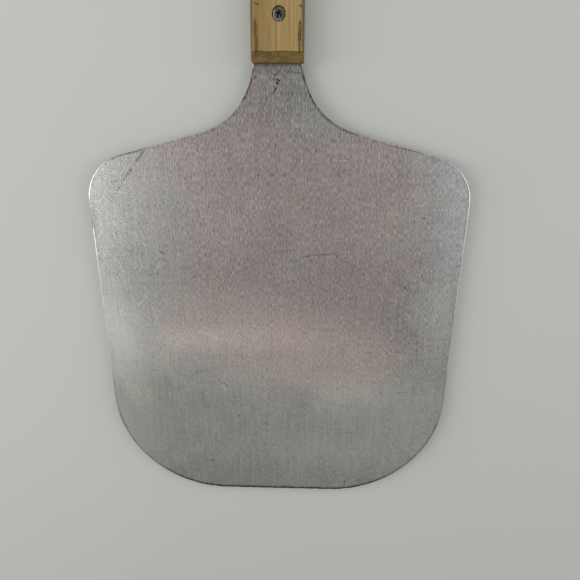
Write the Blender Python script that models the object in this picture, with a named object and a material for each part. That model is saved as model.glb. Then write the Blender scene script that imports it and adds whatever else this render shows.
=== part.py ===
"""Pizza peel: the tang of an aluminium blade, held in the slotted end of a wooden handle by two screws.

Metres, +Z up. The peel lies flat: the origin is at the middle of its length and width, on the plane
of the handle's underside. +Y runs from the blade's front edge to the far end of the handle.
"""

from math import atan2, cos, pi, radians, sin, tan

import bmesh
import bpy
from mathutils import Matrix, Vector

MM = 0.001
GAP = 0.3 * MM                      # clearance between touching pieces

# ---- driving dimensions ----
OVERALL_LENGTH = 660.4 * MM         # 26 in
BLADE_WIDTH = 304.8 * MM            # 12 in
SHEET = 1.6 * MM                    # blade thickness
CORNER_RADIUS = 101.6 * MM          # front corners of the blade
SHOULDER_HEIGHT = 308.9 * MM        # front edge to where the side and shoulder lines would meet
SHOULDER_RADIUS = 36.5 * MM
SHOULDER_SLOPE = radians(15.1)
NECK_RADIUS = 53.1 * MM
NECK_WIDTH = 36.0 * MM              # also the width of the tang
TANG_LENGTH = 101.6 * MM            # length of the tang inside the handle

HANDLE_START = 381.0 * MM           # front edge of the blade to the front end of the handle
HANDLE_WIDTH = 38.1 * MM            # 1 1/2 in
HANDLE_THICKNESS = 19.05 * MM       # 3/4 in
HANDLE_ROUNDING = 3.5 * MM          # radius along the long edges
END_BEVEL = 6.4 * MM                # 45 degree bevel across the front end
FRONT_CORNER = 1.5 * MM             # radius of the front end's corners, seen from above
FAR_CORNER = 12.7 * MM              # radius of the far end's corners, seen from above
HANG_HOLE = 9.5 * MM                # diameter
HANG_HOLE_INSET = 19.05 * MM        # far end of the handle to the hole's centre
HANG_HOLE_CHAMFER = 0.8 * MM

SCREW_INSET = 29.7 * MM             # front end of the handle to the front screw
SCREW_SPACING = 50.8 * MM
SCREW_LENGTH = 15.9 * MM            # number 8 by 5/8 in flat-head wood screw
SCREW_SHANK = 4.2 * MM              # major diameter
SCREW_CORE = 3.0 * MM               # diameter at the root of the thread
SCREW_HEAD = 8.4 * MM               # diameter
SCREW_SINK = 1.0 * MM               # depth of the head's top below the wood
FRONT_SCREW_OFFSET = 1.0 * MM       # the front screw was driven this far right of the middle
HEAD_LIP = 0.25 * MM                # height of the straight edge of the head
HEAD_HALF_ANGLE = radians(41)       # half of the 82 degree countersink
THREAD_PITCH = 1.7 * MM
THREAD_LENGTH = 9.5 * MM
THREAD_FLANK = 0.31                 # half width of the ridge, as a share of the pitch
TIP_LENGTH = 3.4 * MM
TIP_BLUNT = 0.08                    # width left at the point, as a share of the core
RECESS_SPAN = 4.8 * MM              # across the cross recess
RECESS_ARM = 1.0 * MM               # width of one arm
RECESS_DEPTH = 2.1 * MM
RECESS_FLOOR = 0.3                  # size of the recess's floor, as a share of its mouth
RECESS_TURNS = {"front": radians(63), "rear": radians(17)}

EDGE_BREAK = 0.45 * MM              # rounded edges of the sheet
FRONT_BEVEL = 3.2 * MM              # width of the ground bevel along the front edge
FRONT_EDGE = 0.8 * MM               # sheet thickness left at the front edge

CORNER_STEPS = 24                   # points along each front corner
BEVEL_STEPS = 16                    # the ground bevel fades out over this many of them
OVERCUT = 1 * MM                    # how far a cutter stands out of the surface it cuts

# ---- places that follow from them ----
FRONT_Y = -OVERALL_LENGTH / 2
HANDLE_Y0 = FRONT_Y + HANDLE_START
HANDLE_Y1 = OVERALL_LENGTH / 2
TANG_Y1 = HANDLE_Y0 + TANG_LENGTH
SHEET_Z0 = (HANDLE_THICKNESS - SHEET) / 2
SCREW_TOP = HANDLE_THICKNESS - SCREW_SINK
SCREW_PLACES = {
    "front": (FRONT_SCREW_OFFSET, HANDLE_Y0 + SCREW_INSET),
    "rear": (0, HANDLE_Y0 + SCREW_INSET + SCREW_SPACING),
}
HEAD_DEPTH = HEAD_LIP + (SCREW_HEAD - SCREW_SHANK) / 2 / tan(HEAD_HALF_ANGLE)


def clear_scene():
    for thing in list(bpy.data.objects):
        bpy.data.objects.remove(thing, do_unlink=True)


def make_material(name, colour, metallic, roughness):
    material = bpy.data.materials.new(name)
    material.use_nodes = True
    shader = material.node_tree.nodes["Principled BSDF"]
    shader.inputs["Base Color"].default_value = (*colour, 1)
    shader.inputs["Metallic"].default_value = metallic
    shader.inputs["Roughness"].default_value = roughness
    return material


def add_object(name, mesh_data, material, smooth_angle=None):
    """Links a finished bmesh to the scene as one object, with its faces pointing out."""
    bmesh.ops.recalc_face_normals(mesh_data, faces=mesh_data.faces)
    mesh = bpy.data.meshes.new(name)
    mesh_data.to_mesh(mesh)
    mesh_data.free()
    if smooth_angle is not None:
        mesh.shade_smooth()
        mesh.set_sharp_from_angle(angle=smooth_angle)
    if material:
        mesh.materials.append(material)
    thing = bpy.data.objects.new(name, mesh)
    bpy.context.scene.collection.objects.link(thing)
    return thing


def cut(target, cutter):
    """Takes the cutter's shape out of the target."""
    cutter.hide_render = True
    cutter.display_type = "WIRE"
    boolean = target.modifiers.new("cut " + cutter.name, "BOOLEAN")
    boolean.operation = "DIFFERENCE"
    boolean.solver = "EXACT"
    boolean.object = cutter


def arc(centre_x, centre_y, radius, start, end, steps):
    """Points along an arc, both ends included."""
    angles = [start + (end - start) * i / steps for i in range(steps + 1)]
    return [Vector((centre_x + radius * cos(a), centre_y + radius * sin(a))) for a in angles]


def skin(rings):
    """A closed solid through rings of equally many points, capped at both ends."""
    solid = bmesh.new()
    rows = [[solid.verts.new(point) for point in ring] for ring in rings]
    count = len(rows[0])
    for low, high in zip(rows, rows[1:]):
        for i in range(count):
            j = (i + 1) % count
            solid.faces.new((low[i], low[j], high[j], high[i]))
    solid.faces.new(rows[0][::-1])
    solid.faces.new(rows[-1])
    return solid


def turned(profile, sides):
    """A solid of revolution about Z. The profile is (radius, z) pairs from top to bottom."""
    angles = [2 * pi * i / sides for i in range(sides)]
    return skin([[(radius * cos(a), radius * sin(a), z) for a in angles] for radius, z in profile])


# ---- blade ----

def blade_half():
    """The right half of the outline, from the front edge round to the end of the tang.

    Each point comes with the share, 0 to 1, that the ground front bevel has there."""
    half_width = BLADE_WIDTH / 2
    half_neck = NECK_WIDTH / 2
    corner = arc(half_width - CORNER_RADIUS, CORNER_RADIUS, CORNER_RADIUS, -pi / 2, 0, CORNER_STEPS)
    shares = [max(0.0, 1 - i / BEVEL_STEPS) for i in range(CORNER_STEPS + 1)]

    shoulder_turn = pi / 2 - SHOULDER_SLOPE
    shoulder_y = SHOULDER_HEIGHT - SHOULDER_RADIUS * tan(shoulder_turn / 2)
    shoulder = arc(half_width - SHOULDER_RADIUS, shoulder_y, SHOULDER_RADIUS, 0, shoulder_turn, 16)

    # The neck is a hollow arc that touches the sloping shoulder line and the straight side of the tang.
    slope_x = sin(SHOULDER_SLOPE)
    slope_y = cos(SHOULDER_SLOPE)
    neck_x = half_neck + NECK_RADIUS
    along = slope_x * half_width + slope_y * SHOULDER_HEIGHT + NECK_RADIUS
    neck_y = (along - slope_x * neck_x) / slope_y
    neck_start = atan2(-slope_y, -slope_x) + 2 * pi
    neck = arc(neck_x, neck_y, NECK_RADIUS, neck_start, pi, 18)

    tang = [Vector((half_neck, HANDLE_START + TANG_LENGTH))]
    points = corner + shoulder + neck + tang
    shares += [0.0] * (len(points) - len(shares))
    return points, shares


def blade_outline():
    """The whole outline, counter-clockwise, with the bevel share of each point."""
    points, shares = blade_half()
    mirrored = [Vector((-p.x, p.y)) for p in reversed(points)]
    outline = [Vector((p.x, p.y + FRONT_Y)) for p in points + mirrored]
    return outline, shares + shares[::-1]


def inset(outline, widths):
    """The outline moved inwards by a width of its own at each point."""
    moved = []
    count = len(outline)
    for i, point in enumerate(outline):
        before = (point - outline[i - 1]).normalized()
        after = (outline[(i + 1) % count] - point).normalized()
        inward_before = Vector((-before.y, before.x))
        inward_after = Vector((-after.y, after.x))
        middle = (inward_before + inward_after).normalized()
        moved.append(point + middle * (widths[i] / middle.dot(inward_after)))
    return moved


def make_blade(material):
    outline, shares = blade_outline()
    top = SHEET_Z0 + SHEET
    ground = SHEET - FRONT_EDGE         # height that the front bevel takes off the sheet
    soft = EDGE_BREAK * (1 - cos(pi / 4))

    def ring(depths, heights):
        """One ring. Each pair holds the value away from the front bevel, and the value on it."""
        moved = inset(outline, [depths[0] + s * (depths[1] - depths[0]) for s in shares])
        return [(p.x, p.y, heights[0] + s * (heights[1] - heights[0])) for p, s in zip(moved, shares)]

    rings = [
        ring((EDGE_BREAK, EDGE_BREAK), (SHEET_Z0, SHEET_Z0)),
        ring((soft, soft), (SHEET_Z0 + soft, SHEET_Z0 + soft)),
        ring((0, 0), (SHEET_Z0 + EDGE_BREAK, SHEET_Z0 + EDGE_BREAK)),
        ring((0, 0), (top - EDGE_BREAK, top - ground)),
        ring((soft, FRONT_BEVEL * 0.4), (top - soft, top - ground / 2)),
        ring((EDGE_BREAK, FRONT_BEVEL), (top, top)),
    ]
    blade = add_object("blade", skin(rings), material, radians(20))
    for name, (x, y) in SCREW_PLACES.items():
        radius = SCREW_SHANK / 2 + GAP
        profile = [(radius, top + OVERCUT), (radius, SHEET_Z0 - OVERCUT)]
        hole = add_object("tang_hole_" + name, turned(profile, 20), None)
        hole.location = (x, y, 0)
        cut(blade, hole)
    return blade


# ---- handle ----

def handle_ring(z):
    """The handle's outline at one height: rounded long edges, bevelled front end, round far corners."""
    from_face = min(z, HANDLE_THICKNESS - z)
    rounding = 0.0
    if from_face < HANDLE_ROUNDING:
        rise = HANDLE_ROUNDING - from_face
        rounding = HANDLE_ROUNDING - (HANDLE_ROUNDING ** 2 - rise ** 2) ** 0.5
    bevel = max(0.0, END_BEVEL - from_face)
    right = HANDLE_WIDTH / 2 - rounding
    near = HANDLE_Y0 + bevel
    far = HANDLE_Y1 - rounding
    far_radius = FAR_CORNER - rounding
    points = arc(right - FRONT_CORNER, near + FRONT_CORNER, FRONT_CORNER, -pi / 2, 0, 3)
    points += arc(right - far_radius, far - far_radius, far_radius, 0, pi / 2, 8)
    mirrored = [Vector((-p.x, p.y)) for p in reversed(points)]
    return [(p.x, p.y, z) for p in points + mirrored]


def handle_heights():
    """Heights at which the handle's outline is drawn, from the underside up."""
    steps = 5
    lower = [HANDLE_ROUNDING * (1 - cos(pi / 2 * i / steps)) for i in range(steps + 1)]
    lower.append(END_BEVEL)
    return lower + [HANDLE_THICKNESS - z for z in reversed(lower)]


def make_handle(material):
    handle = add_object("handle", skin([handle_ring(z) for z in handle_heights()]), material, radians(35))

    slot = bmesh.new()
    bmesh.ops.create_cube(slot, size=1)
    length = TANG_LENGTH + 2 * GAP + END_BEVEL
    bmesh.ops.scale(slot, vec=(HANDLE_WIDTH * 1.5, length, SHEET + 2 * GAP), verts=slot.verts)
    slot_centre = (0, TANG_Y1 + 2 * GAP - length / 2, SHEET_Z0 + SHEET / 2)
    bmesh.ops.translate(slot, vec=slot_centre, verts=slot.verts)
    cut(handle, add_object("slot_cutter", slot, None))

    for name, (x, y) in SCREW_PLACES.items():
        bore = add_object("screw_bore_" + name, turned(bore_profile(), 24), None)
        bore.location = (x, y, 0)
        cut(handle, bore)

    radius = HANG_HOLE / 2
    mouth = radius + HANG_HOLE_CHAMFER + OVERCUT
    profile = [
        (mouth, HANDLE_THICKNESS + OVERCUT),
        (radius, HANDLE_THICKNESS - HANG_HOLE_CHAMFER),
        (radius, HANG_HOLE_CHAMFER),
        (mouth, -OVERCUT),
    ]
    hole = add_object("hang_hole_cutter", turned(profile, 28), None)
    hole.location = (0, HANDLE_Y1 - HANG_HOLE_INSET, 0)
    cut(handle, hole)
    return handle


def bore_profile():
    """The countersunk screw hole: the screw's own outline with clearance all round."""
    cone_gap = GAP / cos(HEAD_HALF_ANGLE)
    shank = SCREW_SHANK / 2 + GAP
    head = SCREW_HEAD / 2 + cone_gap
    rim = SCREW_TOP - HEAD_LIP
    mouth = head + (HANDLE_THICKNESS + OVERCUT - rim) * tan(HEAD_HALF_ANGLE)
    throat = rim - (head - shank) / tan(HEAD_HALF_ANGLE)
    bottom = SCREW_TOP - SCREW_LENGTH - GAP
    return [
        (mouth, HANDLE_THICKNESS + OVERCUT),
        (shank, throat),
        (shank, bottom + TIP_LENGTH / 2),
        (shank / 3, bottom),
    ]


# ---- screws ----

def thread_radius(angle, z):
    """Radius of the threaded shank at one angle and height below the head."""
    tip = SCREW_TOP - SCREW_LENGTH
    top = tip + TIP_LENGTH + THREAD_LENGTH
    core = SCREW_CORE / 2
    crest = SCREW_SHANK / 2
    phase = (z / THREAD_PITCH - angle / (2 * pi)) % 1
    ridge = max(0.0, 1 - abs(phase - 0.5) / THREAD_FLANK)
    fade = min(1.0, max(0.0, (top - z) / THREAD_PITCH))
    taper = min(1.0, (z - tip) / TIP_LENGTH)
    return (core + (crest - core) * ridge * fade) * (TIP_BLUNT + (1 - TIP_BLUNT) * taper)


def screw_rings(sides):
    """Rings from the top of the head to the tip."""
    tip = SCREW_TOP - SCREW_LENGTH
    thread_top = tip + TIP_LENGTH + THREAD_LENGTH
    steps = round((thread_top - tip) / (THREAD_PITCH / 6))
    angles = [2 * pi * i / sides for i in range(sides)]
    profile = [
        (SCREW_HEAD / 2 - HEAD_LIP, SCREW_TOP),
        (SCREW_HEAD / 2, SCREW_TOP - HEAD_LIP / 2),
        (SCREW_HEAD / 2, SCREW_TOP - HEAD_LIP),
        (SCREW_SHANK / 2, SCREW_TOP - HEAD_DEPTH),
        (SCREW_SHANK / 2, thread_top + THREAD_PITCH / 3),
    ]
    rings = [[(r * cos(a), r * sin(a), z) for a in angles] for r, z in profile]
    for step in range(steps + 1):
        z = thread_top + (tip - thread_top) * step / steps
        ring = []
        for a in angles:
            r = thread_radius(a, z)
            ring.append((r * cos(a), r * sin(a), z))
        rings.append(ring)
    return rings


def recess_cutter(name):
    """A tapered cross with four arms, for the driver recess."""
    reach = RECESS_SPAN / 2
    arm = RECESS_ARM / 2
    quarter = [Vector((reach, -arm)), Vector((reach, arm)), Vector((arm, arm))]
    cross = []
    for turn in range(4):
        spin = Matrix.Rotation(turn * pi / 2, 2)
        cross += [spin @ corner for corner in quarter]
    levels = [(SCREW_TOP - RECESS_DEPTH, RECESS_FLOOR), (SCREW_TOP, 1.0), (SCREW_TOP + OVERCUT, 1.0)]
    rings = [[(p.x * scale, p.y * scale, z) for p in cross] for z, scale in levels]
    return add_object(name, skin(rings), None)


def make_screw(place, material):
    x, y = SCREW_PLACES[place]
    screw = add_object("screw_" + place, skin(screw_rings(16)), material, radians(40))
    screw.location = (x, y, 0)
    cutter = recess_cutter("recess_cutter_" + place)
    cutter.location = (x, y, 0)
    cutter.rotation_euler = (0, 0, RECESS_TURNS[place])
    cut(screw, cutter)
    return screw


def main():
    clear_scene()
    aluminium = make_material("aluminium", (0.42, 0.40, 0.39), 1.0, 0.42)
    wood = make_material("wood", (0.40, 0.24, 0.09), 0.0, 0.5)
    steel = make_material("steel", (0.36, 0.36, 0.37), 1.0, 0.4)
    peel = bpy.data.objects.new("peel", None)
    bpy.context.scene.collection.objects.link(peel)
    pieces = [make_blade(aluminium), make_handle(wood)]
    pieces += [make_screw(place, steel) for place in SCREW_PLACES]
    for piece in pieces:
        piece.parent = peel


main()
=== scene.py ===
"""Looks of the pizza peel: a worn aluminium blade in a wooden handle, held by two flat-head screws."""

from math import atan2, cos, exp, log, pi, radians, sin, sqrt, tan
from types import SimpleNamespace

import bmesh
import bpy
from mathutils import Matrix, Vector, noise


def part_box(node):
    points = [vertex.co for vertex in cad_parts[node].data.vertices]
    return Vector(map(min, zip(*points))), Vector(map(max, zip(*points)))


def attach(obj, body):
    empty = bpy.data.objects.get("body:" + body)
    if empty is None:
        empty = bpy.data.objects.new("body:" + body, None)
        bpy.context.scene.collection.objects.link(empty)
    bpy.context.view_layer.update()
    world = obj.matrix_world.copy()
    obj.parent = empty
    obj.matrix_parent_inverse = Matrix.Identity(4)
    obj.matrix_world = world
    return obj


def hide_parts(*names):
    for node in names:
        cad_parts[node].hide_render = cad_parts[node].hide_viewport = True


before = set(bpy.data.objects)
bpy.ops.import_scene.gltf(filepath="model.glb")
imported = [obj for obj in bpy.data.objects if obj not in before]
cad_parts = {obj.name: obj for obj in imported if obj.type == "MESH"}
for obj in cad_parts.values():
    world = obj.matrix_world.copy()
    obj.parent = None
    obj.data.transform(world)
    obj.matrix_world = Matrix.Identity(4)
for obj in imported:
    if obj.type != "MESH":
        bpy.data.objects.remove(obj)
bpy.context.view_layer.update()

MM = 0.001
BODY = "root"

# ---- places, read from the frame ----
BLADE_LOW, BLADE_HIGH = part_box("blade")
HANDLE_LOW, HANDLE_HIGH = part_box("handle")
SCREWS = {name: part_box(name) for name in ("screw_front", "screw_rear")}
FRONT_Y = BLADE_LOW.y
HALF_BLADE = BLADE_HIGH.x
SHEET = BLADE_HIGH.z - BLADE_LOW.z
TANG_Y1 = BLADE_HIGH.y
HANDLE_Y0 = HANDLE_LOW.y
HANDLE_Y1 = HANDLE_HIGH.y
HALF_HANDLE = HANDLE_HIGH.x
MID_Z = (HANDLE_LOW.z + HANDLE_HIGH.z) / 2
HALF_THICK = (HANDLE_HIGH.z - HANDLE_LOW.z) / 2

# ---- shapes that a box can't tell, as the CAD part has them ----
CORNER_RADIUS = 101.6 * MM
SHOULDER_HEIGHT = 308.9 * MM
SHOULDER_RADIUS = 36.5 * MM
SHOULDER_SLOPE = radians(15.1)
NECK_RADIUS = 53.1 * MM
HALF_NECK = 18.0 * MM
EDGE_BREAK = 0.45 * MM
FRONT_BEVEL = 3.2 * MM
FRONT_EDGE = 0.8 * MM
HANDLE_ROUNDING = 3.5 * MM
END_BEVEL = 6.4 * MM
FRONT_CORNER = 1.0 * MM
FAR_CORNER = 12.7 * MM
HANG_HOLE_RADIUS = 4.75 * MM
HANG_HOLE_INSET = 19.05 * MM
SCREW_SHANK = 2.1 * MM
SCREW_CORE = 1.5 * MM
HEAD_LIP = 0.25 * MM
HEAD_HALF_ANGLE = radians(41)
GAP = 0.3 * MM                      # clearance round the tang and the screws
PAST = 1 * MM                       # how far a cutter reaches past the face that it cuts


# ---------------------------------------------------------------- node helper

class Graph:
    """Short calls for building one material's nodes."""

    def __init__(self, name):
        self.material = bpy.data.materials.new(name)
        self.material.use_nodes = True
        self.tree = self.material.node_tree
        self.tree.nodes.clear()
        self.output = self.add("ShaderNodeOutputMaterial")
        self.shader = self.add("ShaderNodeBsdfPrincipled")
        self.tree.links.new(self.shader.outputs[0], self.output.inputs["Surface"])
        self.place = self.add("ShaderNodeTexCoord").outputs["Object"]

    def add(self, kind, **settings):
        node = self.tree.nodes.new(kind)
        for key, value in settings.items():
            setattr(node, key, value)
        return node

    def put(self, value, socket):
        """Links an output into a socket, or sets the socket to a plain value."""
        if isinstance(value, bpy.types.NodeSocket):
            self.tree.links.new(value, socket)
        else:
            socket.default_value = value

    def set(self, **inputs):
        for name, value in inputs.items():
            self.put(value, self.shader.inputs[name.replace("_", " ")])

    def math(self, operation, a, b=0.0, c=0.0):
        node = self.add("ShaderNodeMath", operation=operation)
        for value, socket in zip((a, b, c), node.inputs):
            self.put(value, socket)
        return node.outputs[0]

    def mul(self, first, *others):
        for other in others:
            first = self.math("MULTIPLY", first, other)
        return first

    def total(self, first, *others):
        for other in others:
            first = self.math("ADD", first, other)
        return first

    def swing(self, value, size, middle=0.5):
        """A value spread about a middle, turned into one spread about zero."""
        return self.math("MULTIPLY_ADD", value, size, -size * middle)

    def vector(self, operation, a, b=(0, 0, 0), c=(0, 0, 0), scale=1.0):
        node = self.add("ShaderNodeVectorMath", operation=operation)
        for value, socket in zip((a, b, c, scale), node.inputs):
            self.put(value, socket)
        return node.outputs["Value" if operation in ("LENGTH", "DOT_PRODUCT", "DISTANCE") else "Vector"]

    def stretched(self, place, scale, turn=0.0):
        """Coordinates turned about Z, then stretched along their own axes."""
        if turn:
            node = self.add("ShaderNodeVectorRotate", rotation_type="Z_AXIS")
            self.put(place, node.inputs["Vector"])
            node.inputs["Angle"].default_value = -turn
            place = node.outputs[0]
        return self.vector("MULTIPLY", place, scale)

    def noise(self, place, scale, detail=2.0, roughness=0.5, output=0, space="3D"):
        """Noise in space, or along one number in 1D. Output 0 is a number and output 1 a colour."""
        node = self.add("ShaderNodeTexNoise", noise_dimensions=space)
        self.put(place, node.inputs["W" if space == "1D" else "Vector"])
        for name, value in (("Scale", scale), ("Detail", detail), ("Roughness", roughness)):
            node.inputs[name].default_value = value
        return node.outputs[output]

    def wobbled(self, place, scale, amount, detail=2.0):
        """Coordinates pushed about by noise, by about the amount."""
        push = self.vector("SUBTRACT", self.noise(place, scale, detail, output=1), (0.5, 0.5, 0.5))
        return self.vector("ADD", place, self.vector("SCALE", push, scale=4 * amount))

    def band(self, value, start, end, low=0.0, high=1.0):
        """value, taken smoothly from low at start to high at end."""
        node = self.add("ShaderNodeMapRange", interpolation_type="SMOOTHSTEP")
        if end < start:
            start, end, low, high = end, start, high, low
        for item, socket in zip((value, start, end, low, high), node.inputs):
            self.put(item, socket)
        return node.outputs[0]

    def mix(self, share, a, b):
        node = self.add("ShaderNodeMix", data_type="RGBA")
        self.put(share, node.inputs["Factor"])
        for value, socket in ((a, node.inputs[6]), (b, node.inputs[7])):
            self.put((*value, 1.0) if isinstance(value, tuple) else value, socket)
        return node.outputs[2]

    def attribute(self, name):
        return self.add("ShaderNodeAttribute", attribute_name=name).outputs["Fac"]

    def split(self, vector=None):
        node = self.add("ShaderNodeSeparateXYZ")
        self.put(vector or self.place, node.inputs[0])
        return node.outputs

    def join(self, x, y, z):
        node = self.add("ShaderNodeCombineXYZ")
        for value, socket in zip((x, y, z), node.inputs):
            self.put(value, socket)
        return node.outputs[0]

    def on_plan(self, place):
        """A place seen from above, its last part being 1 so that a dot product can also shift it."""
        x, y, _ = self.split(place)
        return self.join(x, y, 1.0)

    def strokes(self, place, marks):
        """How strongly any of the marks covers a place from on_plan.

        Each mark is a long thin ellipse that fades outwards: x0, y0, x1, y1, its half width and a strength.
        """
        cover = 0.0
        for x0, y0, x1, y1, width, strength in marks:
            middle = Vector((x0 + x1, y0 + y1)) / 2 * MM
            run = Vector((x1 - x0, y1 - y0)) * MM
            along = run / run.length
            across = Vector((-along.y, along.x)) / (width * MM)
            along /= run.length * 0.575 + width * MM
            u = self.vector("DOT_PRODUCT", place, (*along, -along.dot(middle)))
            v = self.vector("DOT_PRODUCT", place, (*across, -across.dot(middle)))
            reach = self.math("MULTIPLY_ADD", u, u, self.math("MULTIPLY", v, v))
            cover = self.math("MAXIMUM", self.math("MULTIPLY_ADD", reach, -strength, strength), cover)
        return cover

    def spots(self, place, marks):
        """The same for round marks: x, y, radius and strength."""
        cover = 0.0
        for x, y, radius, strength in marks:
            away = self.vector("DISTANCE", place, (x * MM, y * MM, 1.0))
            near = self.math("MULTIPLY_ADD", away, -strength / (radius * MM), strength)
            cover = self.math("MAXIMUM", near, cover)
        return cover

    def bump(self, height, strength, distance):
        node = self.add("ShaderNodeBump")
        node.inputs["Strength"].default_value = strength
        node.inputs["Distance"].default_value = distance
        self.put(height, node.inputs["Height"])
        return node.outputs[0]


# ---------------------------------------------------------------- mesh helpers

def new_object(name, solid):
    """Puts a mesh into the scene and frees it."""
    bmesh.ops.recalc_face_normals(solid, faces=solid.faces)
    mesh = bpy.data.meshes.new(name)
    solid.to_mesh(mesh)
    solid.free()
    mesh.shade_smooth()
    thing = bpy.data.objects.new(name, mesh)
    bpy.context.scene.collection.objects.link(thing)
    return thing


def arc(centre_x, centre_y, radius, start, end, steps):
    angles = [start + (end - start) * i / steps for i in range(steps + 1)]
    return [Vector((centre_x + radius * cos(a), centre_y + radius * sin(a))) for a in angles]


def between(a, b, steps):
    """Points strictly between two ends."""
    return [a.lerp(b, i / steps) for i in range(1, steps)]


def skin(rings):
    """A closed solid through rings of equally many points."""
    solid = bmesh.new()
    rows = [[solid.verts.new(point) for point in ring] for ring in rings]
    join_rows(solid, rows)
    solid.faces.new(rows[0][::-1])
    solid.faces.new(rows[-1])
    return solid


def join_rows(solid, rows):
    count = len(rows[0])
    for low, high in zip(rows, rows[1:]):
        for i in range(count):
            j = (i + 1) % count
            solid.faces.new((low[i], low[j], high[j], high[i]))


def turned(profile, sides):
    """A solid of revolution about Z through pairs of radius and height."""
    angles = [2 * pi * i / sides for i in range(sides)]
    return skin([[(r * cos(a), r * sin(a), z) for a in angles] for r, z in profile])


def cut_away(target, cutters):
    """Cuts shapes out of the target, applies the cuts and deletes the cutters."""
    for cutter in cutters:
        boolean = target.modifiers.new("cut", "BOOLEAN")
        boolean.operation = "DIFFERENCE"
        boolean.solver = "EXACT"
        boolean.object = cutter
    bpy.context.view_layer.update()
    depsgraph = bpy.context.evaluated_depsgraph_get()
    solid = target.evaluated_get(depsgraph)
    mesh = bpy.data.meshes.new_from_object(solid, preserve_all_data_layers=True, depsgraph=depsgraph)
    target.modifiers.clear()
    target.data = mesh
    for cutter in cutters:
        bpy.data.objects.remove(cutter, do_unlink=True)


def even_normals(thing):
    """Large flat faces keep their own direction, and narrow rounded ones blend between them."""
    weighted = thing.modifiers.new("normals", "WEIGHTED_NORMAL")
    weighted.mode = "FACE_AREA"
    weighted.weight = 50
    weighted.keep_sharp = True


def finish_piece(piece, node, material):
    """Gives a piece its material and puts it in place of a CAD node."""
    piece.data.materials.clear()
    piece.data.materials.append(material)
    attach(piece, BODY)
    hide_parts(node)


def screw_place(node):
    low, high = SCREWS[node]
    return (low.x + high.x) / 2, (low.y + high.y) / 2


# ---------------------------------------------------------------- blade

COLUMNS = 112
CORNER_STEPS = 60
SHOULDER_STEPS = 20
NECK_STEPS = 24
SCREW_HOLE_SIDES = 32
BEVEL_SHARE = 2 / 3                 # share of each front corner over which the ground bevel fades out
BOW = 0.7 * MM                      # how far the worn sheet's sides hang below its middle
DIPS = 0.22 * MM                    # how high its slow waves are
WARP_FADE = 120 * MM                # stretch in front of the handle over which both die away
NICK_REACH = 2.0 * MM               # how far in from the edge a nick pushes the sheet
DEPTHS = (0.8, 1.3, 2.0, 3.0, 4.5, 6.5, 9.0, 13.0)      # rings of points inside the outline, in mm

# Where the front edge is nicked: distance from the middle, width and depth, in mm.
NICKS = (
    (-84, 2.0, 0.30), (-63, 1.6, 0.45), (-41, 2.6, 0.30), (-27, 1.2, 0.40), (-8, 1.8, 0.25), (9, 1.3, 0.50),
    (22, 3.0, 0.25), (38, 1.4, 0.35), (52, 2.2, 0.30), (66, 1.3, 0.60), (82, 2.4, 0.35),
)


def blade_side():
    """Right side of the outline from the front edge to the tang's end, with the bevel share of each point."""
    corner = arc(HALF_BLADE - CORNER_RADIUS, CORNER_RADIUS, CORNER_RADIUS, -pi / 2, 0, CORNER_STEPS)
    turn = pi / 2 - SHOULDER_SLOPE
    shoulder_y = SHOULDER_HEIGHT - SHOULDER_RADIUS * tan(turn / 2)
    shoulder = arc(HALF_BLADE - SHOULDER_RADIUS, shoulder_y, SHOULDER_RADIUS, 0, turn, SHOULDER_STEPS)
    slope_x = sin(SHOULDER_SLOPE)
    slope_y = cos(SHOULDER_SLOPE)
    neck_x = HALF_NECK + NECK_RADIUS
    neck_y = (slope_x * HALF_BLADE + slope_y * SHOULDER_HEIGHT + NECK_RADIUS - slope_x * neck_x) / slope_y
    neck = arc(neck_x, neck_y, NECK_RADIUS, atan2(-slope_y, -slope_x) + 2 * pi, pi, NECK_STEPS)
    end = Vector((HALF_NECK, TANG_Y1 - FRONT_Y))
    points = corner + between(corner[-1], shoulder[0], 24) + shoulder
    points += between(shoulder[-1], neck[0], 10) + neck + between(neck[-1], end, 4) + [end]
    fade = CORNER_STEPS * BEVEL_SHARE
    shares = [max(0.0, 1 - i / fade) for i in range(len(corner))]
    shares += [0.0] * (len(points) - len(shares))
    return points, shares


def blade_loop():
    """The whole outline, counter-clockwise from the front edge, and each point's bevel share."""
    side, shares = blade_side()
    left = [Vector((-p.x, p.y)) for p in side]
    front = between(left[0], side[0], COLUMNS)
    back = between(side[-1], left[-1], COLUMNS)
    loop = front + side + back + left[::-1]
    loop_shares = [1.0] * len(front) + shares + [0.0] * len(back) + shares[::-1]
    return loop, loop_shares, len(side)


def inset(loop, widths):
    """The outline moved inwards by each point's width."""
    moved = []
    for i, point in enumerate(loop):
        before = (point - loop[i - 1]).normalized()
        after = (loop[(i + 1) % len(loop)] - point).normalized()
        inward_after = Vector((-after.y, after.x))
        middle = (Vector((-before.y, before.x)) + inward_after).normalized()
        moved.append(point + middle * (widths[i] / middle.dot(inward_after)))
    return moved


def facings(loop):
    """How far the outline faces the handle at each point, from -1 at the front edge to 1."""
    steps = [loop[(i + 1) % len(loop)] - loop[i - 1] for i in range(len(loop))]
    return [-step.x / step.length for step in steps]


def nicked(point, depth_in):
    """Pushes a point near the front edge in where the edge is nicked, less so further from the edge."""
    hold = max(0.0, 1 - depth_in / NICK_REACH)
    if hold == 0 or point.y > CORNER_RADIUS:
        return point
    depth = 0.06 * MM * (1 + noise.noise(Vector((point.x * 260, point.y * 260, 4.2))))
    for place, size, deep in NICKS:
        depth += deep * MM * exp(-(((point.x - place * MM) / (size * MM)) ** 2))
    inward = Vector((0, CORNER_RADIUS)) - Vector((point.x * 0.5, point.y))
    return point + inward.normalized() * depth * hold


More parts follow.
